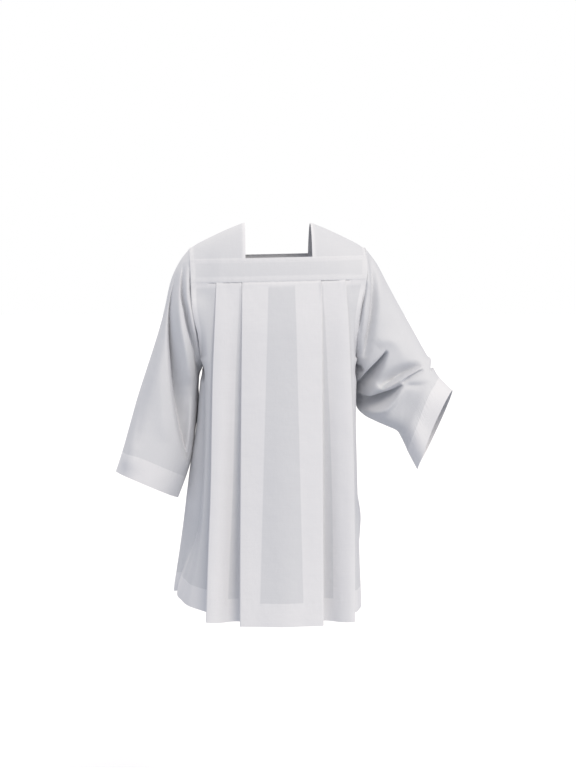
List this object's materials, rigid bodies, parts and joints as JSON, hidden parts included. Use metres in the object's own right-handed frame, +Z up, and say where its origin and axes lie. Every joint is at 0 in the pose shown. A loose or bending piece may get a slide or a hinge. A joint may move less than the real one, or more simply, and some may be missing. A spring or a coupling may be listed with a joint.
{
  "type": "surplice",
  "caption": "Hollow white hip-length over-garment as worn: square neck, plain yoke, knife-pleated front and back, wide open sleeves, the left sleeve raised.",
  "frame": {"origin": "midway between the two shoulder-neck points, on the ridge line where the wearer's shoulders carry the garment", "axes": "+Z up, the front faces -Y, the wearer's left and the raised sleeve are towards +X"},
  "size_m": [0.6904, 0.3297, 0.8119],
  "materials": {
    "white_cloth": "plain woven, pressed, matt"
  },
  "bodies": {
    "root": {"front_panel": "white_cloth", "back_panel": "white_cloth", "front_yoke": "white_cloth", "back_yoke": "white_cloth", "right_shoulder": "white_cloth", "left_shoulder": "white_cloth", "right_sleeve": "white_cloth", "left_sleeve": "white_cloth"}
  },
  "joints": []
}
